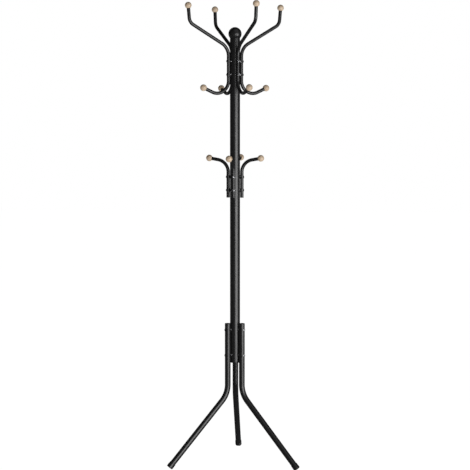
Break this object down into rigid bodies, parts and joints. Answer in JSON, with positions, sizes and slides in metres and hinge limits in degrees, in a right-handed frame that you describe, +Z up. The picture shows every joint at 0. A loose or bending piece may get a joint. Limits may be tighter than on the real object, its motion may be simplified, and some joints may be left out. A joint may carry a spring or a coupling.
{
  "type": "standing coat rack",
  "caption": "Free-standing coat rack: black tube pole on splayed bent legs, with bent tube hooks in two tiers that end in pale wooden balls.",
  "frame": {"origin": "on the pole's axis at floor level", "axes": "+Z up along the pole; +Y towards the rear leg; +X to the right, seen from the front"},
  "size_m": [0.501, 0.4686, 1.7501],
  "materials": {
    "tubes": "satin black powder coat",
    "mouldings": "satin black moulded plastic",
    "balls": "pale wood, clear satin lacquer",
    "hardware": "bright zinc plate"
  },
  "bodies": {
    "root": {"pole_lower": "tubes", "pole_upper": "tubes", "pole_lower_insert": "hardware", "pole_upper_insert": "hardware", "pole_joint_stud": "hardware", "pole_top_ball": "mouldings", "pole_bottom_plug": "mouldings", "double_hook_right": "tubes", "double_hook_back": "tubes", "double_hook_left": "tubes", "double_hook_front": "tubes", "single_hook_right": "tubes", "single_hook_back": "tubes", "single_hook_left": "tubes", "single_hook_front": "tubes", "arm_ball_right": "balls", "arm_ball_back": "balls", "arm_ball_left": "balls", "arm_ball_front": "balls", "j_end_ball_right": "balls", "j_end_ball_back": "balls", "j_end_ball_left": "balls", "j_end_ball_front": "balls", "single_hook_ball_right": "balls", "single_hook_ball_back": "balls", "single_hook_ball_left": "balls", "single_hook_ball_front": "balls", "single_hook_plug_right": "mouldings", "single_hook_plug_back": "mouldings", "single_hook_plug_left": "mouldings", "single_hook_plug_front": "mouldings", "leg_left": "tubes", "leg_right": "tubes", "leg_rear": "tubes", "leg_plug_left": "mouldings", "leg_plug_right": "mouldings", "leg_plug_rear": "mouldings", "foot_cap_left": "mouldings", "foot_cap_right": "mouldings", "foot_cap_rear": "mouldings", "double_hook_screws": "hardware", "single_hook_screws": "hardware", "leg_screws": "hardware", "double_hook_rivet_nuts": "hardware", "single_hook_rivet_nuts": "hardware", "leg_rivet_nuts": "hardware"}
  },
  "joints": []
}
